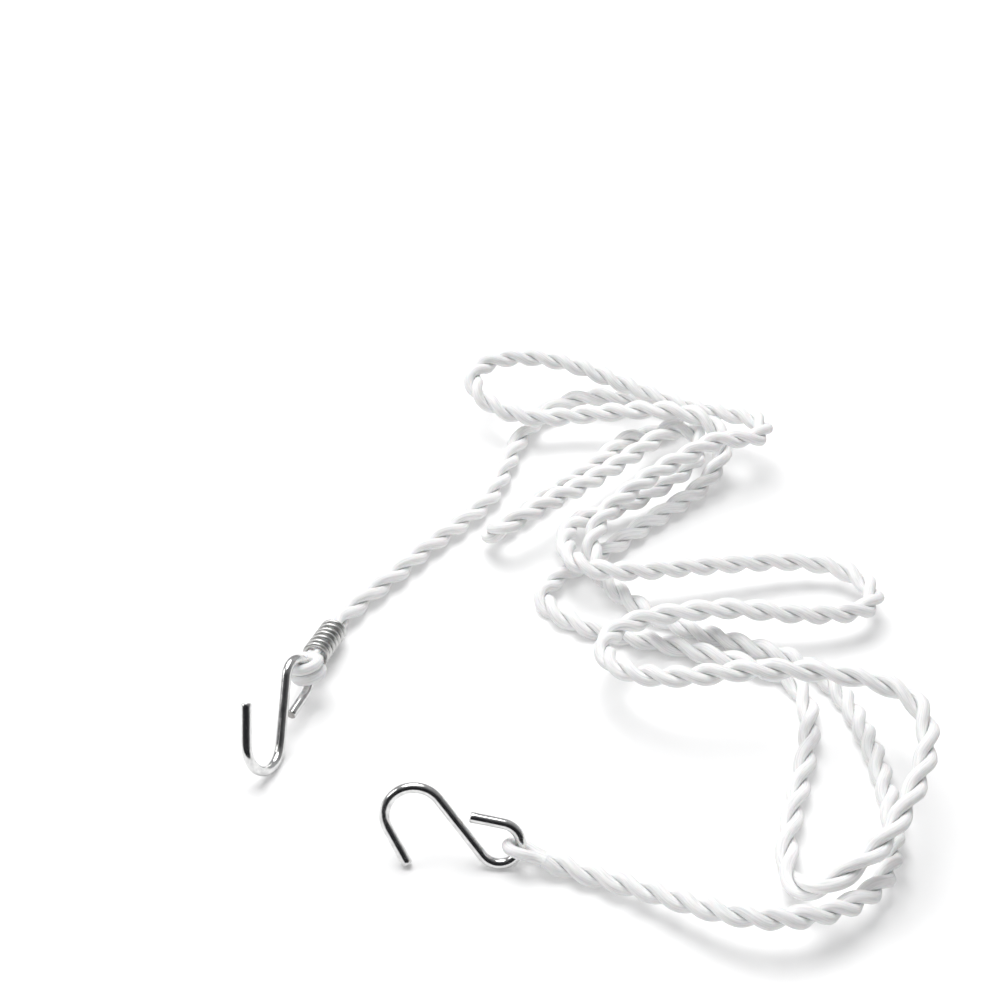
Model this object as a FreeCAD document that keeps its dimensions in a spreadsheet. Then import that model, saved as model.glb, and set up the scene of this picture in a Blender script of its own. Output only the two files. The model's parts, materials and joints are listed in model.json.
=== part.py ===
"""Twisted elastic clothesline with a wire S-hook at each end, lying loose on a flat surface.

One covered elastic cord is folded in half and twisted into a two-strand line. Its fold passes
through the eye of the right hook. Its two ends loop through the eye of the left hook and are
clamped, four strands side by side, in a coiled wire ferrule.

Frame: millimetres, +Z up, the surface at Z = 0, the origin under the middle of the two hooks
and the ferrule.
"""
import FreeCAD, Part
import math
import os

import Sketcher

Vector = FreeCAD.Vector
Rotation = FreeCAD.Rotation
Placement = FreeCAD.Placement

# Driving dimensions, in millimetres and degrees.
SIZES = [
    ("hook_wire_dia", 2.3),
    ("hook_bend_radius", 6.3),
    ("hook_bend_turn", 170.7),
    ("hook_shank_length", 15.5),
    ("hook_tip_length", 8.8),
    ("eye_radius", 4.5),
    ("eye_turn", 221.7),
    ("eye_arm_length", 7.2),
    ("ferrule_wire_dia", 1.1),
    ("ferrule_outer_dia", 6.4),
    ("ferrule_pitch", 1.7),
    ("ferrule_turns", 7.0),
    ("line_dia", 5.0),
    ("strand_dia", 2.5),
    ("core_dia", 1.4),
    ("crimped_dia", 1.7),
    ("crimped_core_dia", 0.95),
    ("cone_length", 1.4),
    ("strand_spacing", 1.3),
    ("crimp_spacing", 0.88),
    ("fold_clearance", 0.3),
    ("loop_clearance", 0.6),
    ("loop_offset", 1.35),
    ("tail_recess", 1.5),
    ("mouth_gap", 0.2),
    # Where each hook's eye centre lies, how the hook is turned, and the angle round the
    # eye at which the cord holds it.
    ("left_x", -20.35), ("left_y", 12.76), ("left_z", 8.96),
    ("left_yaw", 46.5), ("left_pitch", 45.0), ("left_roll", 150.5), ("left_contact", 320.0),
    ("right_x", 25.35), ("right_y", -32.14), ("right_z", 5.14),
    ("right_yaw", 18.0), ("right_pitch", -32.5), ("right_roll", -33.5), ("right_contact", 308.0),
]

# The line's route, from the ferrule's upper mouth to the fold at the right hook's eye.
# Straight runs between these points are joined by arcs. Each comment names the stretch.
ROUTE = [
    # out of the ferrule and away along the surface
    (-13.6, 35.3, 3.3), (-12.1, 39.7, 2.5), (-7.5, 46.4, 2.5), (0, 55.4, 2.5), (8, 66.4, 2.5),
    (16.5, 75.4, 2.5), (22, 82.9, 2.5), (25, 89.9, 2.5), (27.5, 98.9, 2.5), (30.5, 108.4, 2.6),
    # under the top loop, then a turn back
    (36, 118.4, 2.8), (43.5, 123.9, 3.6), (52, 124.9, 4.6), (60.5, 124.4, 4.4), (66.5, 124.1, 3.6),
    (71.2, 122.2, 3), (73, 117.8, 2.6), (71.3, 113.3, 2.5), (67, 110.9, 2.5), (61.5, 110, 2.5),
    # lower leg of the hairpin
    (57, 106.4, 2.5), (51, 98.4, 2.6), (43, 90.4, 2.9), (35.5, 82.4, 3.2), (29.4, 76, 3),
    # the hairpin's tip
    (23.9, 70.3, 3.1), (22.8, 66.5, 5.5), (24.8, 64.1, 9), (28.7, 64.7, 11.4),
    # upper leg, then a turn under the bundle
    (34, 69.4, 11.3), (39.5, 74.9, 10.4), (45.5, 80.9, 9), (53.5, 89.4, 7.8), (61, 97.4, 7.2),
    (66, 102.9, 7), (69.8, 106.8, 7), (74.5, 107, 7.1), (78, 103.9, 7.4), (78.1, 99, 7.7),
    (76.3, 94.6, 7.7),
    # middle cord of the bundle
    (74, 90.9, 7.4), (68.5, 85.9, 6.6), (61.5, 80.9, 5.6), (54, 76.9, 4.8), (48.5, 74.9, 4.6),
    # left curl
    (44, 71.4, 5.2), (41.5, 65.4, 6.6), (41.5, 57.4, 8.4), (44, 50.9, 9.8), (49.5, 47.9, 10.2),
    # upper run of the middle loop
    (59, 48.4, 9.8), (71, 50.9, 9), (83.5, 53.4, 8), (96, 55.9, 6.6), (106, 55.4, 5.6),
    (112, 51.4, 5.4), (115, 45.9, 5.8), (114.5, 40.4, 6.4), (110, 36.9, 7.2),
    # lower run of the middle loop
    (102.5, 34.9, 8.2), (92.5, 33.9, 9.6), (81, 34.9, 10.4), (70, 33.9, 10.4), (60, 31.9, 10.2),
    (53, 27.9, 10.6), (49, 22.4, 11.2),
    # over the others to the right corner
    (49.5, 15.9, 12), (53.5, 10.9, 13.4), (60.5, 6.9, 15.4), (69.5, 5.4, 17.4), (80, 5.9, 18.8),
    (91, 5.4, 19.4), (101.5, 3.9, 19.4), (110, 1.4, 19), (115.5, -2.6, 18.4), (117.5, -8.1, 17.6),
    # down to the lower turn
    (117, -15.1, 17), (114, -23.1, 16.2), (110, -30.6, 15.2), (105.5, -37.6, 13.8),
    (100, -43.1, 12.8), (94.5, -46.1, 10.9), (90, -47.1, 8.2), (86.5, -43.6, 5), (85.5, -37.1, 3),
    # back up along the surface
    (86.5, -29.1, 2.5), (89.5, -18.1, 2.5), (93, -7.1, 2.5), (95.5, 3.9, 2.5), (95.5, 12.9, 2.5),
    (92.5, 19.9, 2.5), (85, 23.4, 2.5), (75, 26.9, 2.5), (64.5, 30.9, 2.5), (54.5, 33.4, 2.5),
    (46, 36.4, 2.5), (39, 40.9, 2.5), (35.5, 45.9, 2.5), (36.5, 50.9, 2.5), (41, 55.4, 2.5),
    # lower cord of the bundle
    (47, 59.9, 2.5), (54, 65.9, 2.5), (62.5, 74.4, 2.5), (70.5, 81.4, 2.6), (76.5, 86.9, 3),
    (80.5, 91.9, 4.4), (83, 96.4, 6.4), (83.5, 98.9, 8.8), (82, 101.4, 11.4), (78.5, 104.4, 13),
    # the top loop
    (72.5, 106.9, 13.2), (64.5, 109.4, 12), (55, 110.9, 9.8), (45.5, 111.4, 8.4),
    (36.5, 109.9, 8.3), (28.5, 110.9, 9.2), (22, 113.4, 11), (18, 117.9, 13), (19, 123.9, 14.4),
    (25.5, 128.4, 14.8), (35, 129.4, 14.6), (45.5, 126.9, 13.8), (55.5, 121.9, 12.4),
    (65, 117.4, 11), (73, 113.9, 10.4), (81, 110.4, 10.8), (86.3, 108, 11.4), (91.1, 106, 11.8),
    (93.6, 102.3, 12.2), (93.6, 98.1, 12.8), (90.6, 94.9, 13.4),
    # upper cord of the bundle
    (84.6, 94.2, 14.2), (79, 91.5, 15), (74, 87.4, 14.8), (66, 82.4, 13.8), (59, 76.4, 12.6),
    (53, 70.9, 11.2), (49.5, 65.4, 9.8), (47.5, 59.9, 8.4), (48.5, 55.9, 6.4), (50.5, 52.4, 4),
    # under the middle loop and down the right side
    (54.5, 47.9, 2.7), (60, 42.4, 2.5), (67.5, 37.4, 2.5), (76.5, 32.9, 2.5), (85.5, 29.4, 2.5),
    (94, 25.9, 2.5), (100.5, 20.4, 2.5), (105, 11.4, 2.5), (108, -0.1, 2.5), (109.5, -11.1, 2.5),
    (110, -21.1, 2.6), (108.8, -30.9, 3.2), (106.4, -39.1, 4.6), (102.4, -45.2, 5.8),
    # round the lower corner and along to the right hook
    (96.6, -50.2, 7.2), (89.8, -53.6, 8.6), (82, -55.3, 9.4), (74.5, -54.6, 9.4), (67, -51.1, 7.6),
    (59, -46.1, 5.6), (52, -42.1, 3.9), (45.5, -38.9, 2.8), (39.7, -36.6, 2.5), (34.7, -34.7, 3.3),
]

RUN_SHARE = 0.45  # an arc may take this much of the shorter run beside it

doc = FreeCAD.newDocument("clothesline")
sheet = doc.addObject("Spreadsheet::Sheet", "Sizes")
for row, (alias, number) in enumerate(SIZES, start=1):
    sheet.set("A%d" % row, alias)
    sheet.set("B%d" % row, str(number))
    sheet.setAlias("B%d" % row, alias)
doc.recompute()


def size(alias):
    """A driving dimension's number."""
    return float(sheet.get(alias))


def plane_of(body, role):
    """One of a body's own origin planes."""
    return next(f for f in body.Origin.OriginFeatures if f.Role == role)


def new_sketch(body, name, role):
    """An empty sketch on one of the body's origin planes."""
    sketch = body.newObject("Sketcher::SketchObject", name)
    sketch.AttachmentSupport = (plane_of(body, role), "")
    sketch.MapMode = "FlatFace"
    return sketch


def bind(sketch, name, constraint, expression):
    """Adds a dimension to a sketch, named and driven by the sheet."""
    index = sketch.addConstraint(constraint)
    sketch.renameConstraint(index, name)
    sketch.setExpression("Constraints." + name, expression)


def point(x, y):
    return Vector(x, y, 0)


def arc_on(centre, radius, start_deg, end_deg):
    circle = Part.Circle(centre, Vector(0, 0, 1), radius)
    return Part.ArcOfCircle(circle, math.radians(start_deg), math.radians(end_deg))


def polar(centre, radius, angle_deg):
    angle = math.radians(angle_deg)
    return centre + point(radius * math.cos(angle), radius * math.sin(angle))


def line_from(start, length, heading_deg):
    return Part.LineSegment(start, polar(start, length, heading_deg))


def hook_path(body):
    """The hook's side of the wire: shank, round bend and straight tip."""
    sketch = new_sketch(body, body.Name + "_bend_path", "XZ_Plane")
    eye, bend, shank = size("eye_radius"), size("hook_bend_radius"), size("hook_shank_length")
    turn = size("hook_bend_turn")
    centre = point(-eye - bend, shank)
    sketch.addGeometry(Part.LineSegment(point(-eye, 0), point(-eye, shank)))
    sketch.addGeometry(arc_on(centre, bend, 0, turn))
    sketch.addGeometry(line_from(polar(centre, bend, turn), size("hook_tip_length"), turn + 90))
    sketch.addConstraint(Sketcher.Constraint("PointOnObject", 0, 1, -1))
    sketch.addConstraint(Sketcher.Constraint("Vertical", 0))
    sketch.addConstraint(Sketcher.Constraint("Tangent", 0, 2, 1, 1))
    sketch.addConstraint(Sketcher.Constraint("Tangent", 1, 2, 2, 1))
    bind(sketch, "eye_side", Sketcher.Constraint("DistanceX", 0, 1, -1, 1, eye), "Sizes.eye_radius")
    bind(sketch, "shank", Sketcher.Constraint("Distance", 0, shank), "Sizes.hook_shank_length")
    bind(sketch, "bend", Sketcher.Constraint("Radius", 1, bend), "Sizes.hook_bend_radius")
    bind(sketch, "tip", Sketcher.Constraint("Distance", 2, size("hook_tip_length")),
         "Sizes.hook_tip_length")
    bind(sketch, "tip_heading", Sketcher.Constraint("Angle", 2, math.radians(turn - 270)),
         "Sizes.hook_bend_turn * 1 deg - 270 deg")
    return sketch


def eye_path(body):
    """The eye's side of the wire: the eye's arc and its straight closing arm."""
    sketch = new_sketch(body, body.Name + "_eye_path", "XZ_Plane")
    eye, turn = size("eye_radius"), size("eye_turn")
    sketch.addGeometry(arc_on(point(0, 0), eye, 180, 180 + turn))
    sketch.addGeometry(line_from(polar(point(0, 0), eye, 180 + turn), size("eye_arm_length"),
                                 turn - 90))
    sketch.addConstraint(Sketcher.Constraint("Coincident", 0, 3, -1, 1))
    sketch.addConstraint(Sketcher.Constraint("PointOnObject", 0, 1, -1))
    sketch.addConstraint(Sketcher.Constraint("Tangent", 0, 2, 1, 1))
    bind(sketch, "eye", Sketcher.Constraint("Radius", 0, eye), "Sizes.eye_radius")
    bind(sketch, "arm", Sketcher.Constraint("Distance", 1, size("eye_arm_length")),
         "Sizes.eye_arm_length")
    bind(sketch, "arm_heading", Sketcher.Constraint("Angle", 1, math.radians(turn - 90)),
         "Sizes.eye_turn * 1 deg - 90 deg")
    return sketch


def wire_section(body):
    """The wire's round section where the shank meets the eye."""
    sketch = new_sketch(body, body.Name + "_section", "XY_Plane")
    sketch.addGeometry(Part.Circle(point(-size("eye_radius"), 0), Vector(0, 0, 1),
                                   size("hook_wire_dia") / 2))
    sketch.addConstraint(Sketcher.Constraint("PointOnObject", 0, 3, -1))
    bind(sketch, "place", Sketcher.Constraint("DistanceX", 0, 3, -1, 1, size("eye_radius")),
         "Sizes.eye_radius")
    bind(sketch, "wire", Sketcher.Constraint("Diameter", 0, size("hook_wire_dia")),
         "Sizes.hook_wire_dia")
    return sketch


def hook_placement(side):
    """Where a hook's eye centre lies and how the hook is turned."""
    centre = Vector(size(side + "_x"), size(side + "_y"), size(side + "_z"))
    return Placement(centre, Rotation(size(side + "_yaw"), size(side + "_pitch"),
                                      size(side + "_roll")))


def make_hook(side):
    """An S-hook bent from one wire, with its eye round the body's origin."""
    body = doc.addObject("PartDesign::Body", "hook_" + side)
    section = wire_section(body)
    for name, path in (("_bend", hook_path(body)), ("_eye", eye_path(body))):
        doc.recompute()
        pipe = body.newObject("PartDesign::AdditivePipe", body.Name + name)
        pipe.Profile = section
        pipe.Spine = (path, ["Edge%d" % (n + 1) for n in range(len(path.Shape.Edges))])
        doc.recompute()
    for name in ("x", "y", "z"):
        body.setExpression("Placement.Base." + name, "Sizes.%s_%s" % (side, name))
    body.Placement = hook_placement(side)
    return body


def make_ferrule(mouth, axis):
    """The coiled wire ferrule, its lower mouth at `mouth` and its axis along `axis`."""
    body = doc.addObject("PartDesign::Body", "ferrule_coil")
    section = new_sketch(body, "ferrule_section", "XZ_Plane")
    wire, outer = size("ferrule_wire_dia"), size("ferrule_outer_dia")
    section.addGeometry(Part.Circle(point((outer - wire) / 2, wire / 2), Vector(0, 0, 1), wire / 2))
    bind(section, "wire", Sketcher.Constraint("Diameter", 0, wire), "Sizes.ferrule_wire_dia")
    bind(section, "reach", Sketcher.Constraint("DistanceX", -1, 1, 0, 3, (outer - wire) / 2),
         "(Sizes.ferrule_outer_dia - Sizes.ferrule_wire_dia) / 2")
    bind(section, "rise", Sketcher.Constraint("DistanceY", -1, 1, 0, 3, wire / 2),
         "Sizes.ferrule_wire_dia / 2")
    doc.recompute()
    coil = body.newObject("PartDesign::AdditiveHelix", "ferrule_turns")
    coil.Profile = section
    coil.ReferenceAxis = (section, ["V_Axis"])
    coil.Mode = 0
    coil.Pitch = size("ferrule_pitch")
    coil.Height = size("ferrule_pitch") * size("ferrule_turns")
    coil.setExpression("Pitch", "Sizes.ferrule_pitch")
    coil.setExpression("Height", "Sizes.ferrule_pitch * Sizes.ferrule_turns")
    doc.recompute()
    body.Placement = Placement(mouth, Rotation(Vector(0, 0, 1), axis))
    return body


def rounded_path(points, radii=None):
    """Straight runs through the points, joined by arcs as large as the runs allow."""
    edges, at = [], points[0]
    for before, corner, after in zip(points, points[1:], points[2:]):
        along, onward = corner - before, after - corner
        reach = RUN_SHARE * min(along.Length, onward.Length)
        turn = along.getAngle(onward)
        radius = reach / math.tan(turn / 2)
        along.normalize()
        onward.normalize()
        start, end = corner - along * reach, corner + onward * reach
        bisector = (onward - along).normalize()
        middle = corner + bisector * (math.hypot(radius, reach) - radius)
        edges.append(Part.LineSegment(at, start).toShape())
        edges.append(Part.Arc(start, middle, end).toShape())
        at = end
        if radii is not None:
            radii.append((radius, math.degrees(turn)))
    edges.append(Part.LineSegment(at, points[-1]).toShape())
    return Part.Wire(edges)


def disc(centre, normal, diameter):
    return Part.Wire(Part.Circle(centre, normal, diameter / 2).toShape())


def tube(points, diameter, radii=None):
    """A solid round tube along the rounded path."""
    path = rounded_path(points, radii)
    section = disc(points[0], points[1] - points[0], diameter)
    solid = path.makePipeShell([section], True, False)
    section_area = math.pi * diameter ** 2 / 4
    if abs(solid.Volume / (section_area * path.Length) - 1) > 0.005:
        raise ValueError("a tube's volume isn't its section times its length")
    return solid


def add_feature(name, shape):
    """A sub-part whose shape is worked out here from the sheet's sizes."""
    feature = doc.addObject("Part::Feature", name)
    feature.Shape = shape
    feature.Placement = Placement()
    return feature


def cover_and_core(name, outer, inner):
    """The woven cover, hollow, and the rubber core that fills it, as two sub-parts."""
    return [add_feature(name + "_cover", outer.cut(inner)), add_feature(name + "_core", inner)]


def bight(centre, out, side, reach):
    """Corners of half a hexagon round a wire, from its +side, behind it, to its -side."""
    corner = reach / math.cos(math.radians(30))
    angles = [math.radians(a) for a in (30, 90, 150)]
    return [centre + side * (corner * math.cos(a)) - out * (corner * math.sin(a)) for a in angles]


def contact(side):
    """Where the cord holds a hook's eye: the wire's centre there and its direction."""
    place = hook_placement(side)
    angle = math.radians(size(side + "_contact"))
    centre = place.multVec(Vector(math.cos(angle), 0, math.sin(angle)) * size("eye_radius"))
    along = place.Rotation.multVec(Vector(-math.sin(angle), 0, math.cos(angle)))
    return centre, along


def square_to(direction, other):
    """The part of `direction` at right angles to `other`, as a unit vector."""
    return (direction - other * direction.dot(other)).normalize()


def wrap_reach(clearance):
    """Distance from a hook wire's centre to the middle of the strand that wraps it."""
    return size("hook_wire_dia") / 2 + size(clearance) + size("strand_dia") / 2


def make_fold(end, inward):
    """The elastic's fold: two strands from the line's end, joined round the right hook's eye."""
    wire, along = contact("right")
    out = square_to(end - wire, along)
    side = along.cross(out)
    spacing, reach = size("strand_spacing"), wrap_reach("fold_clearance")
    edge = square_to(side, inward)
    legs = [[end + edge * spacing * s, end + edge * spacing * s + inward * 1.6,
             wire + out * 1.2 + side * reach * s] for s in (1, -1)]
    points = legs[0] + bight(wire, out, side, reach) + legs[1][::-1]
    outer, inner = tube(points, size("strand_dia")), tube(points, size("core_dia"))
    return cover_and_core("right_fold", outer, inner)


def make_end_loop(name, top, axis, level):
    """One end of the elastic: through the ferrule, round the left hook's eye and back in."""
    wire, along = contact("left")
    length = size("ferrule_pitch") * size("ferrule_turns") + size("ferrule_wire_dia")
    mouth = top + axis * (length + size("mouth_gap"))
    out = square_to(mouth - wire, along)
    side = along.cross(out)
    edge = square_to(side, axis)
    rise = axis.cross(edge)
    rise = rise if rise.dot(along) > 0 else rise * -1
    centre = wire + along * size("loop_offset") * level
    reach, cone = wrap_reach("loop_clearance"), size("cone_length")
    crimp, spread = size("crimp_spacing"), size("strand_spacing")
    solids = []
    for full, crimped in ((size("strand_dia"), size("crimped_dia")),
                          (size("core_dia"), size("crimped_core_dia"))):
        points, pieces = [], []
        for s, start in ((1, top), (-1, top + axis * size("tail_recess"))):
            lane = edge * crimp * s + rise * crimp * level
            wide = mouth + axis * cone + edge * spread * s + rise * spread * level
            pieces.append(Part.makeCylinder(crimped / 2, (mouth - start).Length, start + lane,
                                            axis))
            pieces.append(Part.makeLoft([disc(mouth + lane, axis, crimped),
                                         disc(wide, axis, full)], True, True))
            leg = [wide, wide + axis * 0.9, centre + out * 1.0 + side * reach * s]
            points += leg if s == 1 else bight(centre, out, side, reach) + leg[::-1]
        pieces.append(tube(points, full))
        solids.append(pieces[0].fuse(pieces[1:]).removeSplitter())
    return cover_and_core(name, solids[0], solids[1])


route = [Vector(*p) for p in ROUTE]
line_radii = []
line_shape = tube(route, size("line_dia"), line_radii)
line_length = rounded_path(route).Length
print("line length %.1f mm, from %d points" % (line_length, len(route)))
print("smallest radii: " + ", ".join("%.1f" % r for r, _ in sorted(line_radii)[:8]))
print("largest turn %.0f degrees" % max(t for _, t in line_radii))

into_ferrule = (route[0] - route[1]).normalize()
ferrule_length = size("ferrule_pitch") * size("ferrule_turns") + size("ferrule_wire_dia")
lower_mouth = route[0] + into_ferrule * (size("mouth_gap") + ferrule_length)

subparts = [make_hook("left"), make_hook("right"),
            make_ferrule(lower_mouth, into_ferrule * -1),
            add_feature("line", line_shape)]
subparts += make_end_loop("left_loop_upper", route[0], into_ferrule, -1)
subparts += make_end_loop("left_loop_lower", route[0], into_ferrule, 1)
subparts += make_fold(route[-1], (route[-1] - route[-2]).normalize())
doc.recompute()

for obj in doc.Objects:
    if "Invalid" in obj.State or "Error" in obj.State:
        raise ValueError("%s failed: %s" % (obj.Name, obj.State))

os.makedirs("parts", exist_ok=True)
for sub in subparts:
    sub.Label = sub.Name
    shape = sub.Shape
    if shape.isNull() or not shape.isValid() or len(shape.Solids) != 1:
        raise ValueError("%s isn't one valid solid" % sub.Name)
    shape.exportStep("parts/%s.step" % sub.Name)
    box = shape.BoundBox
    print("%-24s volume %8.2f  x %7.2f %7.2f  y %7.2f %7.2f  z %6.2f %6.2f" % (
        sub.Name, shape.Volume, box.XMin, box.XMax, box.YMin, box.YMax, box.ZMin, box.ZMax))
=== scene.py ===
"""Twisted elastic clothesline with two wire S-hooks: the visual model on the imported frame."""
import json
import math

import bpy
import numpy as np
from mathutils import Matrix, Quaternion, Vector


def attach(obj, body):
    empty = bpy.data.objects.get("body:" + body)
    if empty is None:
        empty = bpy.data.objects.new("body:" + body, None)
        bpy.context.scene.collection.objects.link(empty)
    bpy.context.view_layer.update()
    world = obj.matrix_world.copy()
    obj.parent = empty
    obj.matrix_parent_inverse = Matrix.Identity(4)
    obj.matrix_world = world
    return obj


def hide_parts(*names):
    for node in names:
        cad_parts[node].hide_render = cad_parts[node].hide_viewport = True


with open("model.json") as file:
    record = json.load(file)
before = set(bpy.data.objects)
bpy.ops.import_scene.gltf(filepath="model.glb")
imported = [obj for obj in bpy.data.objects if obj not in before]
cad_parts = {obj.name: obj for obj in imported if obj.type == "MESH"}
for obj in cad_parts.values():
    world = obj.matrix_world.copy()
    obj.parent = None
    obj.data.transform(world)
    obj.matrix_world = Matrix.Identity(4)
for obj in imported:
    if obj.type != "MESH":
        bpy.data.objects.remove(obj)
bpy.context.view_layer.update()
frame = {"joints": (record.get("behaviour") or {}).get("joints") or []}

MM = 0.001  # every size below is in millimetres and every Blender object in metres

# ---------------------------------------------------------------- sizes, as the CAD has them
STRAND_RADIUS = 1.25
CRIMPED_RADIUS = 0.85
STRAND_SPACING = 1.3      # from the line's axis to a strand's, where the strands run side by side
CRIMP_SPACING = 0.88
CONE_LENGTH = 1.4         # over which a crimped strand swells again outside the ferrule
TAIL_RECESS = 1.5
MOUTH_GAP = 0.2
HOOK_WIRE = 2.3
EYE_RADIUS, EYE_TURN, EYE_ARM = 4.5, 221.7, 7.2
BEND_RADIUS, BEND_TURN = 6.3, 170.7
SHANK_LENGTH, TIP_LENGTH = 15.5, 8.8
FERRULE_WIRE, FERRULE_OUTER, FERRULE_PITCH, FERRULE_TURNS = 1.1, 6.4, 1.7, 7
FOLD_CLEARANCE, LOOP_CLEARANCE, LOOP_OFFSET = 0.3, 0.6, 1.35
HOOKS = {  # eye centre, then the turns about Z, Y and X in degrees
    "left": ((-20.35, 12.76, 8.96), (46.5, 45.0, 150.5)),
    "right": ((25.35, -32.14, 5.14), (18.0, -32.5, -33.5)),
}

# ---------------------------------------------------------------- camera
CAMERA_PLACE = (25.45, -309.14, 332)
CAMERA_TILT = 50          # degrees up from looking straight down
FOCAL_LENGTH = 72.2
SENSOR_WIDTH = 36
camera_data = bpy.data.cameras.new("camera")
camera_data.lens = FOCAL_LENGTH
camera_data.sensor_width = SENSOR_WIDTH
camera = bpy.data.objects.new("camera", camera_data)
camera.location = Vector(CAMERA_PLACE) * MM
camera.rotation_euler = (math.radians(CAMERA_TILT), 0, 0)
bpy.context.collection.objects.link(camera)
bpy.context.scene.camera = camera

# ---------------------------------------------------------------- the line's route
# From the ferrule's upper mouth to the fold at the right hook's eye: the smooth line's control
# points, the same as the CAD's.
ROUTE = [
    # out of the ferrule and away along the surface
    (-13.6, 35.3, 3.3), (-12.1, 39.7, 2.5), (-7.5, 46.4, 2.5), (0, 55.4, 2.5), (8, 66.4, 2.5),
    (16.5, 75.4, 2.5), (22, 82.9, 2.5), (25, 89.9, 2.5), (27.5, 98.9, 2.5), (30.5, 108.4, 2.6),
    # under the top loop, then a turn back
    (36, 118.4, 2.8), (43.5, 123.9, 3.6), (52, 124.9, 4.6), (60.5, 124.4, 4.4), (66.5, 124.1, 3.6),
    (71.2, 122.2, 3), (73, 117.8, 2.6), (71.3, 113.3, 2.5), (67, 110.9, 2.5), (61.5, 110, 2.5),
    # lower leg of the hairpin
    (57, 106.4, 2.5), (51, 98.4, 2.6), (43, 90.4, 2.9), (35.5, 82.4, 3.2), (29.4, 76, 3),
    # the hairpin's tip
    (23.9, 70.3, 3.1), (22.8, 66.5, 5.5), (24.8, 64.1, 9), (28.7, 64.7, 11.4),
    # upper leg, then a turn under the bundle
    (34, 69.4, 11.3), (39.5, 74.9, 10.4), (45.5, 80.9, 9), (53.5, 89.4, 7.8), (61, 97.4, 7.2),
    (66, 102.9, 7), (69.8, 106.8, 7), (74.5, 107, 7.1), (78, 103.9, 7.4), (78.1, 99, 7.7),
    (76.3, 94.6, 7.7),
    # middle cord of the bundle
    (74, 90.9, 7.4), (68.5, 85.9, 6.6), (61.5, 80.9, 5.6), (54, 76.9, 4.8), (48.5, 74.9, 4.6),
    # left curl
    (44, 71.4, 5.2), (41.5, 65.4, 6.6), (41.5, 57.4, 8.4), (44, 50.9, 9.8), (49.5, 47.9, 10.2),
    # upper run of the middle loop
    (59, 48.4, 9.8), (71, 50.9, 9), (83.5, 53.4, 8), (96, 55.9, 6.6), (106, 55.4, 5.6),
    (112, 51.4, 5.4), (115, 45.9, 5.8), (114.5, 40.4, 6.4), (110, 36.9, 7.2),
    # lower run of the middle loop
    (102.5, 34.9, 8.2), (92.5, 33.9, 9.6), (81, 34.9, 10.4), (70, 33.9, 10.4), (60, 31.9, 10.2),
    (53, 27.9, 10.6), (49, 22.4, 11.2),
    # over the others to the right corner
    (49.5, 15.9, 12), (53.5, 10.9, 13.4), (60.5, 6.9, 15.4), (69.5, 5.4, 17.4), (80, 5.9, 18.8),
    (91, 5.4, 19.4), (101.5, 3.9, 19.4), (110, 1.4, 19), (115.5, -2.6, 18.4), (117.5, -8.1, 17.6),
    # down to the lower turn
    (117, -15.1, 17), (114, -23.1, 16.2), (110, -30.6, 15.2), (105.5, -37.6, 13.8),
    (100, -43.1, 12.8), (94.5, -46.1, 10.9), (90, -47.1, 8.2), (86.5, -43.6, 5), (85.5, -37.1, 3),
    # back up along the surface
    (86.5, -29.1, 2.5), (89.5, -18.1, 2.5), (93, -7.1, 2.5), (95.5, 3.9, 2.5), (95.5, 12.9, 2.5),
    (92.5, 19.9, 2.5), (85, 23.4, 2.5), (75, 26.9, 2.5), (64.5, 30.9, 2.5), (54.5, 33.4, 2.5),
    (46, 36.4, 2.5), (39, 40.9, 2.5), (35.5, 45.9, 2.5), (36.5, 50.9, 2.5), (41, 55.4, 2.5),
    # lower cord of the bundle
    (47, 59.9, 2.5), (54, 65.9, 2.5), (62.5, 74.4, 2.5), (70.5, 81.4, 2.6), (76.5, 86.9, 3),
    (80.5, 91.9, 4.4), (83, 96.4, 6.4), (83.5, 98.9, 8.8), (82, 101.4, 11.4), (78.5, 104.4, 13),
    # the top loop
    (72.5, 106.9, 13.2), (64.5, 109.4, 12), (55, 110.9, 9.8), (45.5, 111.4, 8.4),
    (36.5, 109.9, 8.3), (28.5, 110.9, 9.2), (22, 113.4, 11), (18, 117.9, 13), (19, 123.9, 14.4),
    (25.5, 128.4, 14.8), (35, 129.4, 14.6), (45.5, 126.9, 13.8), (55.5, 121.9, 12.4),
    (65, 117.4, 11), (73, 113.9, 10.4), (81, 110.4, 10.8), (86.3, 108, 11.4), (91.1, 106, 11.8),
    (93.6, 102.3, 12.2), (93.6, 98.1, 12.8), (90.6, 94.9, 13.4),
    # upper cord of the bundle
    (84.6, 94.2, 14.2), (79, 91.5, 15), (74, 87.4, 14.8), (66, 82.4, 13.8), (59, 76.4, 12.6),
    (53, 70.9, 11.2), (49.5, 65.4, 9.8), (47.5, 59.9, 8.4), (48.5, 55.9, 6.4), (50.5, 52.4, 4),
    # under the middle loop and down the right side
    (54.5, 47.9, 2.7), (60, 42.4, 2.5), (67.5, 37.4, 2.5), (76.5, 32.9, 2.5), (85.5, 29.4, 2.5),
    (94, 25.9, 2.5), (100.5, 20.4, 2.5), (105, 11.4, 2.5), (108, -0.1, 2.5), (109.5, -11.1, 2.5),
    (110, -21.1, 2.6), (108.8, -30.9, 3.2), (106.4, -39.1, 4.6), (102.4, -45.2, 5.8),
    # round the lower corner and along to the right hook
    (96.6, -50.2, 7.2), (89.8, -53.6, 8.6), (82, -55.3, 9.4), (74.5, -54.6, 9.4), (67, -51.1, 7.6),
    (59, -46.1, 5.6), (52, -42.1, 3.9), (45.5, -38.9, 2.8), (39.7, -36.6, 2.5), (34.7, -34.7, 3.3),
]


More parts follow.
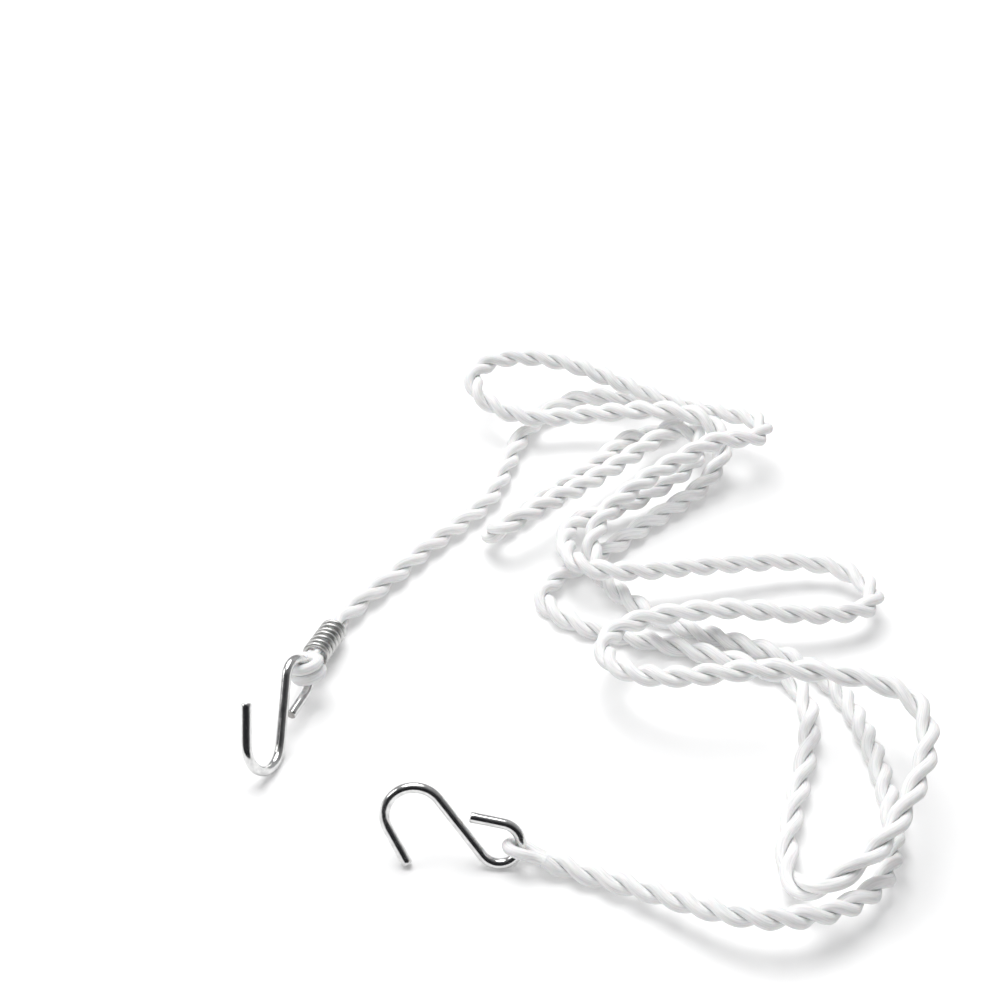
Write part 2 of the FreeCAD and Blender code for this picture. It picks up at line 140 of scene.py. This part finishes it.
def spline_points(control_points, resolution=12):
    """Points along the smooth NURBS line that has these control points, as a numpy array."""
    curve = bpy.data.curves.new("route", "CURVE")
    curve.dimensions = "3D"
    spline = curve.splines.new("NURBS")
    spline.points.add(len(control_points) - 1)
    for target, source in zip(spline.points, control_points):
        target.co = (*source, 1)
    spline.order_u = 3
    spline.use_endpoint_u = True
    spline.resolution_u = resolution
    holder = bpy.data.objects.new("route", curve)
    bpy.context.collection.objects.link(holder)
    bpy.context.view_layer.update()
    mesh = bpy.data.meshes.new_from_object(holder)
    points = np.array([v.co[:] for v in mesh.vertices])
    bpy.data.objects.remove(holder)
    bpy.data.curves.remove(curve)
    bpy.data.meshes.remove(mesh)
    return points


def unit(vectors):
    """Vectors (rows) scaled to length 1."""
    return vectors / np.linalg.norm(vectors, axis=-1, keepdims=True)


def distances_along(points):
    """How far along the line each point is."""
    return np.concatenate([[0], np.cumsum(np.linalg.norm(np.diff(points, axis=0), axis=1))])


def resampled(points, step):
    """The same line with evenly spaced points."""
    along = distances_along(points)
    even = np.linspace(0, along[-1], max(2, int(round(along[-1] / step)) + 1))
    return np.stack([np.interp(even, along, points[:, k]) for k in range(3)], axis=1)


def untwisted_normals(points, first):
    """The tangent at each point, and a normal that turns no more than the line itself does."""
    tangents = unit(np.gradient(points, axis=0))
    normals = [first - tangents[0] * np.dot(first, tangents[0])]
    for here, there in zip(tangents, tangents[1:]):
        normal = normals[-1]
        axis = np.cross(here, there)
        sine, cosine = np.linalg.norm(axis), np.dot(here, there)
        if sine > 1e-9:
            axis /= sine
            normal = (normal * cosine + np.cross(axis, normal) * sine
                      + axis * np.dot(axis, normal) * (1 - cosine))
        normals.append(normal - there * np.dot(normal, there))
    return tangents, unit(np.array(normals))


END_UV = 0.1  # radius of a cut end in texture space


def tube_mesh(name, runs, sides, materials):
    """A piece made of closed tubes, which rests on the floor where it would go through it.

    Each run is (centres, tangents, normals, section, turned). section(i, angles) gives ring i's
    points as distances along the normal and the binormal, and at each a painted shade, a factor
    that darkens the colour, where angle 0 is the normal's. turned is how far each ring's first
    point is turned back from the normal.
    The last material is for the flat ends."""
    verts, painted_shades, faces, uvs, slots = [], [], [], [], []
    steps = np.arange(sides) * 2 * math.pi / sides
    girth = 2 * math.pi * STRAND_RADIUS * MM
    for centres, tangents, normals, section, turned in runs:
        base = len(verts)
        binormals = np.cross(tangents, normals)
        lengths = distances_along(centres) / girth
        count = len(centres)
        for i in range(count):
            # each section also gives a painted shade for each of its points
            out, across, shade = section(i, steps - turned[i])
            ring = centres[i] + np.outer(out, normals[i]) + np.outer(across, binormals[i])
            ring[:, 2] = np.maximum(ring[:, 2], 0)
            verts.extend(ring.tolist())
            painted_shades.extend(shade)
        for i in range(count - 1):
            low, high = lengths[i], lengths[i + 1]
            for j in range(sides):
                k = (j + 1) % sides
                faces.append((base + i * sides + j, base + i * sides + k,
                              base + (i + 1) * sides + k, base + (i + 1) * sides + j))
                left, right = j / sides, (j + 1) / sides
                uvs.extend([(left, low), (right, low), (right, high), (left, high)])
                slots.append(0)
        for ring, start in ((range(sides - 1, -1, -1), 0), (range(sides), (count - 1) * sides)):
            faces.append(tuple(base + start + j for j in ring))
            uvs.extend([(0.5 + END_UV * math.cos(a), 0.5 + END_UV * math.sin(a)) for a in steps])
            slots.append(len(materials) - 1)
    mesh = bpy.data.meshes.new(name)
    mesh.from_pydata(verts, [], faces)
    # painted shade: a factor per point that darkens the cover's colour in the furrow between the
    # strands
    mesh.attributes.new("furrow", "FLOAT", "POINT").data.foreach_set("value", painted_shades)
    layer = mesh.uv_layers.new(name="around_and_along")
    layer.data.foreach_set("uv", np.array(uvs, dtype=np.float32).ravel())
    mesh.polygons.foreach_set("material_index", slots)
    mesh.polygons.foreach_set("use_smooth", [len(f) == 4 for f in faces])
    for material in materials:
        mesh.materials.append(material)
    mesh.update()
    piece = bpy.data.objects.new(name, mesh)
    bpy.context.collection.objects.link(piece)
    return piece


# ---------------------------------------------------------------- materials
def new_material(name, **constants):
    """A material with these values on its main shader: the material, its nodes and that shader."""
    material = bpy.data.materials.new(name)
    material.use_nodes = True
    shader = material.node_tree.nodes["Principled BSDF"]
    for socket, value in constants.items():
        shader.inputs[socket.replace("_", " ")].default_value = value
    return material, material.node_tree, shader


def add_node(tree, kind, **inputs):
    """A shader node with these input values."""
    node = tree.nodes.new(kind)
    for socket, value in inputs.items():
        node.inputs[socket.replace("_", " ")].default_value = value
    return node


def ramp(tree, source, stops):
    """A colour that goes with a value, between two stops of (place, colour)."""
    node = tree.nodes.new("ShaderNodeValToRGB")
    elements = node.color_ramp.elements
    for element, (place, colour) in zip(elements, stops):
        element.position, element.color = place, (*colour, 1)
    tree.links.new(source, node.inputs["Fac"])
    return node.outputs["Color"]


def stretched_uv(tree, around, along):
    """The tube's own coordinates, scaled: around the tube, and along it."""
    uv = tree.nodes.new("ShaderNodeUVMap")
    uv.uv_map = "around_and_along"
    scale = tree.nodes.new("ShaderNodeMapping")
    scale.inputs["Scale"].default_value = (around, along, 1)
    tree.links.new(uv.outputs["UV"], scale.inputs["Vector"])
    return scale.outputs["Vector"]


def cover_material():
    """White braided cover: lengthwise streaks of thread, with shade painted into its colour in the
    furrow between two strands.
    """
    material, tree, shader = new_material(
        "elastic_cover", Roughness=0.8, Sheen_Weight=0.3, Sheen_Roughness=0.5,
        Specular_IOR_Level=0.15, Subsurface_Weight=0.1, Subsurface_Scale=0.0008)
    streaks = add_node(tree, "ShaderNodeTexNoise", Scale=1.0, Detail=5.0, Roughness=0.7)
    tree.links.new(stretched_uv(tree, 22, 1.1), streaks.inputs["Vector"])
    threads = add_node(tree, "ShaderNodeTexNoise", Scale=1.0, Detail=3.0, Roughness=0.6)
    tree.links.new(stretched_uv(tree, 40, 30), threads.inputs["Vector"])
    first = add_node(tree, "ShaderNodeBump", Strength=0.8, Distance=0.0002)
    second = add_node(tree, "ShaderNodeBump", Strength=0.5, Distance=0.00005)
    tree.links.new(streaks.outputs["Fac"], first.inputs["Height"])
    tree.links.new(threads.outputs["Fac"], second.inputs["Height"])
    tree.links.new(first.outputs["Normal"], second.inputs["Normal"])
    tree.links.new(second.outputs["Normal"], shader.inputs["Normal"])
    colour = ramp(tree, streaks.outputs["Fac"],
                  [(0.34, (0.78, 0.785, 0.79)), (0.56, (0.985, 0.985, 0.98))])
    # painted shade: the colour is scaled by a factor per point that is darker in the furrow between
    # the strands
    furrow = tree.nodes.new("ShaderNodeAttribute")
    furrow.attribute_name = "furrow"
    colour_with_painted_shade = tree.nodes.new("ShaderNodeVectorMath")
    colour_with_painted_shade.operation = "SCALE"
    tree.links.new(colour, colour_with_painted_shade.inputs["Vector"])
    tree.links.new(furrow.outputs["Fac"], colour_with_painted_shade.inputs["Scale"])
    tree.links.new(colour_with_painted_shade.outputs["Vector"], shader.inputs["Base Color"])
    return material


def core_material():
    """Cut rubber threads at the elastic's cut ends."""
    material, tree, shader = new_material("rubber_core", Roughness=0.6)
    cells = add_node(tree, "ShaderNodeTexVoronoi", Scale=60.0)
    tree.links.new(stretched_uv(tree, 1, 1), cells.inputs["Vector"])
    colour = ramp(tree, cells.outputs["Distance"],
                  [(0.1, (0.78, 0.75, 0.68)), (0.7, (0.6, 0.57, 0.5))])
    tree.links.new(colour, shader.inputs["Base Color"])
    return material


def wire_material(name, dark, light, smooth, rough):
    """Drawn steel wire: fine lengthwise draw lines, and a plating that is clouded here and there."""
    material, tree, shader = new_material(name, Metallic=1.0)
    lines = add_node(tree, "ShaderNodeTexNoise", Scale=1.0, Detail=3.0, Roughness=0.6)
    tree.links.new(stretched_uv(tree, 34, 0.7), lines.inputs["Vector"])
    bump = add_node(tree, "ShaderNodeBump", Strength=0.18, Distance=0.00003)
    tree.links.new(lines.outputs["Fac"], bump.inputs["Height"])
    tree.links.new(bump.outputs["Normal"], shader.inputs["Normal"])
    clouds = add_node(tree, "ShaderNodeTexNoise", Scale=1.0, Detail=5.0, Roughness=0.7)
    tree.links.new(stretched_uv(tree, 5, 3), clouds.inputs["Vector"])
    colour = ramp(tree, clouds.outputs["Fac"], [(0.35, dark), (0.6, light)])
    tree.links.new(colour, shader.inputs["Base Color"])
    haze = add_node(tree, "ShaderNodeMapRange", From_Min=0.3, From_Max=0.7, To_Min=smooth,
                    To_Max=rough)
    tree.links.new(clouds.outputs["Fac"], haze.inputs["Value"])
    tree.links.new(haze.outputs["Result"], shader.inputs["Roughness"])
    return material


cover = cover_material()
core = core_material()
hook_steel = wire_material("hook_zinc", (0.58, 0.58, 0.58), (0.8, 0.8, 0.795), 0.1, 0.22)
cut_steel = wire_material("cut_steel", (0.3, 0.29, 0.28), (0.42, 0.41, 0.4), 0.4, 0.55)
ferrule_steel = wire_material("ferrule_wire", (0.5, 0.5, 0.49), (0.7, 0.7, 0.69), 0.32, 0.46)

# ---------------------------------------------------------------- the twisted line
RIBS = 14                 # lengthwise ribs on the elastic's cover
RIB_DEPTH = 0.08
STRAND_SIDES = 2 * RIBS
TWIST_OFFSET = 1.20       # from the line's axis to a strand's, where the strands are twisted
TWIST_RADIUS = 1.34
FERRULE_STRETCH = 7.0     # over which the strands leave the ferrule and begin to twist
FOLD_STRETCH = 2.2        # over which they stop twisting at the fold
STRAND_STEP = 0.55
STRAND_GAP = 0.02         # left between the two strands where they press on each other
PAINTED_SHADE_FROM, PAINTED_SHADE_STRENGTH, PAINTED_SHADE_CURVE = 0.45, 0.75, 1.5  # how the shade painted into the furrow between them darkens

line_path = spline_points([Vector(p) * MM for p in ROUTE])
centre = resampled(line_path, STRAND_STEP * MM)
along = distances_along(centre)
total = along[-1]

contacts = {}             # each hook's eye: where the cord holds it, and the wire's direction
for joint in frame["joints"]:
    side = joint["child"].replace("hook_", "")
    contacts[side] = (np.array(joint["pos_m"]), unit(np.array(joint["axis"], dtype=float)))


def square_to(direction, other):
    return unit(direction - other * np.dot(direction, other))


control = np.array(ROUTE) * MM
into_ferrule = unit(control[0] - control[1])
into_fold = unit(control[-1] - control[-2])
ferrule_length = (FERRULE_PITCH * FERRULE_TURNS + FERRULE_WIRE) * MM
lower_mouth = control[0] + into_ferrule * (ferrule_length + MOUTH_GAP * MM)

left_wire, left_along = contacts["left"]
left_out = square_to(lower_mouth - left_wire, left_along)
left_side = np.cross(left_along, left_out)
left_edge = square_to(left_side, into_ferrule)
left_rise = np.cross(into_ferrule, left_edge)
if np.dot(left_rise, left_along) < 0:
    left_rise = -left_rise

right_wire, right_along = contacts["right"]
right_out = square_to(control[-1] - right_wire, right_along)
right_side = np.cross(right_along, right_out)
right_edge = square_to(right_side, into_fold)

line_tangents, line_normals = untwisted_normals(centre, left_rise)
line_binormals = np.cross(line_tangents, line_normals)


def rib_wave(sides, depth):
    """How far each point round a section stands out or in, rib by rib."""
    return np.where(np.arange(sides) % 2, 1, -1) * depth * MM / 2


def ease(place, length):
    """Rises smoothly from 0 to 1 over a length."""
    t = np.clip(place / length, 0, 1)
    return t * t * (3 - 2 * t)


UNEVEN = [  # waves in the twist: share, the length along the line of one radian in mm, and start
    (0.06, 83, 0.7), (0.05, 31, 2.1), (0.05, 12.7, 4.0),
]


def uneven(place):
    """How much tighter or looser the twist is at each distance along the line."""
    return 1 + sum(share * np.sin(place / (radian * MM) + start) for share, radian, start in UNEVEN)


LAYS = [  # place along the line, from 0 to 1, and the length of one whole turn of its strands
    (0.0, 16.8), (0.05, 15.6), (0.09, 13.8), (0.24, 13.4), (0.29, 13.2), (0.41, 14.0),
    (0.45, 18.6), (0.51, 18.6), (0.55, 16.6), (0.59, 13.8), (0.68, 12.8), (0.88, 13.6),
    (0.93, 13.2), (0.96, 12.4), (1.0, 12.4),
]
lay = np.interp(along / total, *zip(*LAYS)) * MM
rate = uneven(along) * 2 * math.pi / lay
rate *= ease(along, FERRULE_STRETCH * MM) * ease(total - along, FOLD_STRETCH * MM)
phase = np.concatenate([[0], np.cumsum((rate[1:] + rate[:-1]) / 2 * np.diff(along))])
end_angle = math.atan2(np.dot(right_edge, line_binormals[-1]),
                       np.dot(right_edge, line_normals[-1]))
half_turns = round((phase[-1] - end_angle) / math.pi)
phase *= (end_angle + half_turns * math.pi) / phase[-1]

from_ferrule = ease(along, FERRULE_STRETCH / 2 * MM)
from_fold = ease(total - along, FOLD_STRETCH * MM)
offset = MM * (CRIMP_SPACING + (TWIST_OFFSET - CRIMP_SPACING) * from_ferrule)
offset += MM * (STRAND_SPACING - TWIST_OFFSET) * (1 - from_fold)
radius = MM * (CRIMPED_RADIUS + (TWIST_RADIUS - CRIMPED_RADIUS) * from_ferrule)
radius -= MM * (TWIST_RADIUS - STRAND_RADIUS) * (1 - from_fold)
sideways = np.outer((1 - from_ferrule) * CRIMP_SPACING * MM, left_edge)

strand_runs = []
for turn in (0, math.pi):
    angle = phase + turn
    outward = (line_normals * np.cos(angle)[:, None] + line_binormals * np.sin(angle)[:, None])
    middle = centre + sideways + outward * offset[:, None]
    tangents = unit(np.gradient(middle, axis=0))
    outward = unit(outward - tangents * np.sum(outward * tangents, axis=1, keepdims=True))
    climb = np.clip(np.sum(tangents * line_tangents, axis=1), 0, 1)
    turned = np.concatenate([[0], np.cumsum(np.diff(angle) * climb[1:])])

    def pressed(i, angles):
        """A ribbed round section, flattened where the other strand presses on it, with shade painted
        in there.
        """
        reach = radius[i] + rib_wave(STRAND_SIDES, RIB_DEPTH)
        out = np.maximum(np.cos(angles) * reach, -offset[i] + STRAND_GAP / 2 * MM)
        # painted shade: darker towards the side facing the other strand, fading out at the fold
        depth = np.clip((-np.cos(angles) - PAINTED_SHADE_FROM) / (1 - PAINTED_SHADE_FROM), 0, 1) ** PAINTED_SHADE_CURVE
        return out, np.sin(angles) * reach, 1 - PAINTED_SHADE_STRENGTH * depth * from_fold[i]

    strand_runs.append((middle, tangents, outward, pressed, turned))

line = tube_mesh("twisted_line", strand_runs, STRAND_SIDES, [cover])
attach(line, "line")
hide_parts("line")


def plain_run(points, radii, first_normal, ribs=RIB_DEPTH, sides=STRAND_SIDES):
    """A round tube's run for tube_mesh, with ribs of this depth."""
    tangents, normals = untwisted_normals(points, first_normal)

    def round_section(i, angles):
        reach = radii[i] + rib_wave(sides, ribs)
        return np.cos(angles) * reach, np.sin(angles) * reach, np.ones(sides)

    return points, tangents, normals, round_section, np.zeros(len(points))


def bight(middle, out, side, reach):
    """Corners of half a hexagon round a wire, from its +side, behind it, to its -side."""
    corner = reach / math.cos(math.radians(30))
    return [middle + side * corner * math.cos(a) - out * corner * math.sin(a)
            for a in map(math.radians, (30, 90, 150))]


# ---------------------------------------------------------------- the fold at the right hook
FOLD_OVERLAP = 0.8        # how far the fold's legs run on inside the twisted strands
FOLD_LEG = 1.6            # how far they run straight on the other side
FOLD_APPROACH = 1.2       # where they reach the wire's side, before its centre
FOLD_THINNER = 0.02       # keeps the legs inside the strands
FOLD_STEP, LOOP_STEP = 0.4, 0.35
reach = (HOOK_WIRE / 2 + FOLD_CLEARANCE + STRAND_RADIUS) * MM
legs = []
for sign in (1, -1):
    foot = control[-1] + right_edge * STRAND_SPACING * MM * sign
    legs.append([foot - into_fold * FOLD_OVERLAP * MM, foot, foot + into_fold * FOLD_LEG * MM,
                 right_wire + right_out * FOLD_APPROACH * MM + right_side * reach * sign])
fold_path = resampled(spline_points(
    legs[0] + bight(right_wire, right_out, right_side, reach) + legs[1][::-1]), FOLD_STEP * MM)
fold_radii = np.full(len(fold_path), (STRAND_RADIUS - FOLD_THINNER) * MM)
fold = tube_mesh("right_fold", [plain_run(fold_path, fold_radii, right_along)],
                 STRAND_SIDES, [cover])
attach(fold, "line")
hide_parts("right_fold_cover", "right_fold_core")

# ---------------------------------------------------------------- the two ends at the left hook
UPPER_START = 0.3         # how far inside the ferrule the line's own ends of the loops begin
LANE_LENGTH = 3.0         # straight, side by side in the ferrule
LOOP_LEG = 0.9            # straight again outside its mouth
LOOP_APPROACH = 1.0
SQUEEZE = 0.04            # pinched under each turn of the ferrule
reach = (HOOK_WIRE / 2 + LOOP_CLEARANCE + STRAND_RADIUS) * MM
for name, level in (("left_loop_upper", -1), ("left_loop_lower", 1)):
    ring = left_wire + left_along * LOOP_OFFSET * MM * level
    halves = []
    for sign, recess in ((1, UPPER_START), (-1, TAIL_RECESS)):
        corner = left_edge * sign + left_rise * level
        start = control[0] + into_ferrule * recess * MM + corner * CRIMP_SPACING * MM
        narrow = lower_mouth + corner * CRIMP_SPACING * MM
        wide = lower_mouth + into_ferrule * CONE_LENGTH * MM + corner * STRAND_SPACING * MM
        halves.append([start, start + into_ferrule * LANE_LENGTH * MM,
                       narrow - into_ferrule * MM, narrow,
                       wide, wide + into_ferrule * LOOP_LEG * MM,
                       ring + left_out * LOOP_APPROACH * MM + left_side * reach * sign])
    path = resampled(spline_points(
        halves[0] + bight(ring, left_out, left_side, reach) + halves[1][::-1]), LOOP_STEP * MM)
    beyond = (path - lower_mouth) @ into_ferrule
    swell = ease(beyond, CONE_LENGTH * MM)
    squeeze = np.cos(beyond / (FERRULE_PITCH * MM) * 2 * math.pi) * SQUEEZE * MM * (beyond < 0)
    radii = MM * (CRIMPED_RADIUS + (STRAND_RADIUS - CRIMPED_RADIUS) * swell) - np.abs(squeeze)
    piece = tube_mesh(name, [plain_run(path, radii, left_along)], STRAND_SIDES, [cover, core])
    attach(piece, "line")
    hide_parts(name + "_cover", name + "_core")

# ---------------------------------------------------------------- the ferrule
COIL_STEPS = 40           # rings for each turn
COIL_SIDES = 20
COIL_DRIFT = 0.06         # how unevenly its turns lie
WORN_END, WORN_DEPTH = 0.12, 0.12  # how far along, in mm, and how much the wire's cut ends are worn
turns = np.linspace(0, FERRULE_TURNS, FERRULE_TURNS * COIL_STEPS + 1)
coil_radius = (FERRULE_OUTER - FERRULE_WIRE) / 2
upright = Vector((0, 0, 1)).rotation_difference(Vector(-into_ferrule))
coil_points = []
for t in turns:
    angle = 2 * math.pi * t
    drift = COIL_DRIFT * math.sin(2.3 * t + 0.4)
    spot = Vector((coil_radius * math.cos(angle), coil_radius * math.sin(angle),
                   FERRULE_WIRE / 2 + FERRULE_PITCH * t + drift * min(t, FERRULE_TURNS - t)))
    coil_points.append(lower_mouth + np.array(upright @ spot) * MM)
coil_points = np.array(coil_points)
ends = np.minimum(turns, FERRULE_TURNS - turns) * 2 * math.pi * coil_radius
coil_radii = MM * (FERRULE_WIRE / 2) * (1 - WORN_DEPTH * np.exp(-(ends / WORN_END) ** 2))
coil_run = plain_run(coil_points, coil_radii, -into_ferrule, 0, COIL_SIDES)
ferrule = tube_mesh("ferrule_wire", [coil_run], COIL_SIDES, [ferrule_steel, cut_steel])
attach(ferrule, "line")
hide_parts("ferrule_coil")

# ---------------------------------------------------------------- the hooks
HOOK_SIDES = 40
CHAMFER = 0.14            # worn off the edge of each cut end


def arc(centre_x, centre_z, bend, start, turn, step=3.0):
    """Points along an arc in the hook's flat plane, without its first."""
    count = max(2, int(abs(turn) / step))
    return [(centre_x + bend * math.cos(math.radians(start + turn * k / count)), 0,
             centre_z + bend * math.sin(math.radians(start + turn * k / count)))
            for k in range(1, count + 1)]


def straight(start, heading, length, step=0.8):
    """Points along a straight run, without its first."""
    count = max(2, int(length / step))
    return [(start[0] + math.cos(math.radians(heading)) * length * k / count, 0,
             start[2] + math.sin(math.radians(heading)) * length * k / count)
            for k in range(1, count + 1)]


def hook_points():
    """The hook's wire from the eye's cut end to the tip's, round the eye's centre."""
    eye = [(-EYE_RADIUS, 0, 0)] + arc(0, 0, EYE_RADIUS, 180, EYE_TURN)
    eye += straight(eye[-1], EYE_TURN + 270, EYE_ARM)
    hook = straight((-EYE_RADIUS, 0, 0), 90, SHANK_LENGTH)
    hook += arc(-EYE_RADIUS - BEND_RADIUS, SHANK_LENGTH, BEND_RADIUS, 0, BEND_TURN)
    hook += straight(hook[-1], BEND_TURN + 90, TIP_LENGTH)
    return np.array(eye[::-1] + hook)


def chamfered(points, radii):
    """The wire's rings with a small chamfer at each cut end."""
    points, radii = list(points), list(radii)
    for end, inner in ((0, 1), (-1, -2)):
        back = unit(points[inner] - points[end])
        rim, trimmed = points[end] + back * CHAMFER * MM, radii[end] - CHAMFER * MM
        if end == 0:
            points.insert(1, rim)
            radii = [trimmed] + radii
        else:
            points.insert(len(points) - 1, rim)
            radii = radii + [trimmed]
    return np.array(points), np.array(radii)


for side, (eye_centre, (yaw, pitch, roll)) in HOOKS.items():
    rotation = (Quaternion((0, 0, 1), math.radians(yaw))
                @ Quaternion((0, 1, 0), math.radians(pitch))
                @ Quaternion((1, 0, 0), math.radians(roll)))
    placed = np.array([(rotation @ Vector(p) + Vector(eye_centre)) * MM for p in hook_points()])
    placed, radii = chamfered(placed, np.full(len(placed), HOOK_WIRE / 2 * MM))
    across = np.array(rotation @ Vector((0, 1, 0)))
    hook = tube_mesh("hook_%s_wire" % side, [plain_run(placed, radii, across, 0, HOOK_SIDES)],
                     HOOK_SIDES, [hook_steel, cut_steel])
    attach(hook, "hook_" + side)
    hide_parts("hook_" + side)

# ---------------------------------------------------------------- floor, light and world
bpy.ops.mesh.primitive_plane_add(size=6, location=(0, 0.5, 0))
floor = bpy.context.object
floor.name = "floor"
floor_paint, _, _ = new_material("floor_paint", Base_Color=(0.9, 0.9, 0.9, 1), Roughness=0.6,
                                 Specular_IOR_Level=0.1, Emission_Color=(1, 1, 1, 1),
                                 Emission_Strength=0.12)
floor.data.materials.append(floor_paint)


def area_light(name, place, aim, size, power):
    """A round lamp at a place, turned towards another, in metres and watts."""
    data = bpy.data.lights.new(name, "AREA")
    data.shape, data.size, data.energy = "DISK", size, power
    light = bpy.data.objects.new(name, data)
    light.location = place
    light.rotation_euler = (Vector(aim) - Vector(place)).to_track_quat("-Z", "Y").to_euler()
    bpy.context.collection.objects.link(light)
    return light


MIDDLE = (0.04, 0.03, 0)  # of the tangle
area_light("overhead", (-0.1, 0.4, 0.95), MIDDLE, 0.9, 9.6)
area_light("left_fill", (-0.85, 0.1, 0.55), (0.0, 0.03, 0), 0.5, 1.8)
front_fill = area_light("front_fill", (0.1, -0.85, 0.75), MIDDLE, 0.9, 3.0)
front_fill.visible_glossy = False   # it lifts the cord's shaded sides and leaves the steel dark

world = bpy.data.worlds.new("studio")
world.use_nodes = True
bpy.context.scene.world = world
sky = world.node_tree
backdrop = sky.nodes["Background"]
backdrop.inputs["Strength"].default_value = 0.5
direction = sky.nodes.new("ShaderNodeTexCoord")
parts = sky.nodes.new("ShaderNodeSeparateXYZ")
sky.links.new(direction.outputs["Generated"], parts.inputs["Vector"])
spread = add_node(sky, "ShaderNodeMapRange", From_Min=-1.0, From_Max=1.0)
sky.links.new(parts.outputs["Y"], spread.inputs["Value"])
shade = ramp(sky, spread.outputs["Result"],
             [(0.2, (0.05, 0.05, 0.055)), (0.75, (0.85, 0.85, 0.86))])  # dark behind the camera
sky.links.new(shade, backdrop.inputs["Color"])
bpy.context.scene.view_settings.view_transform = "Standard"
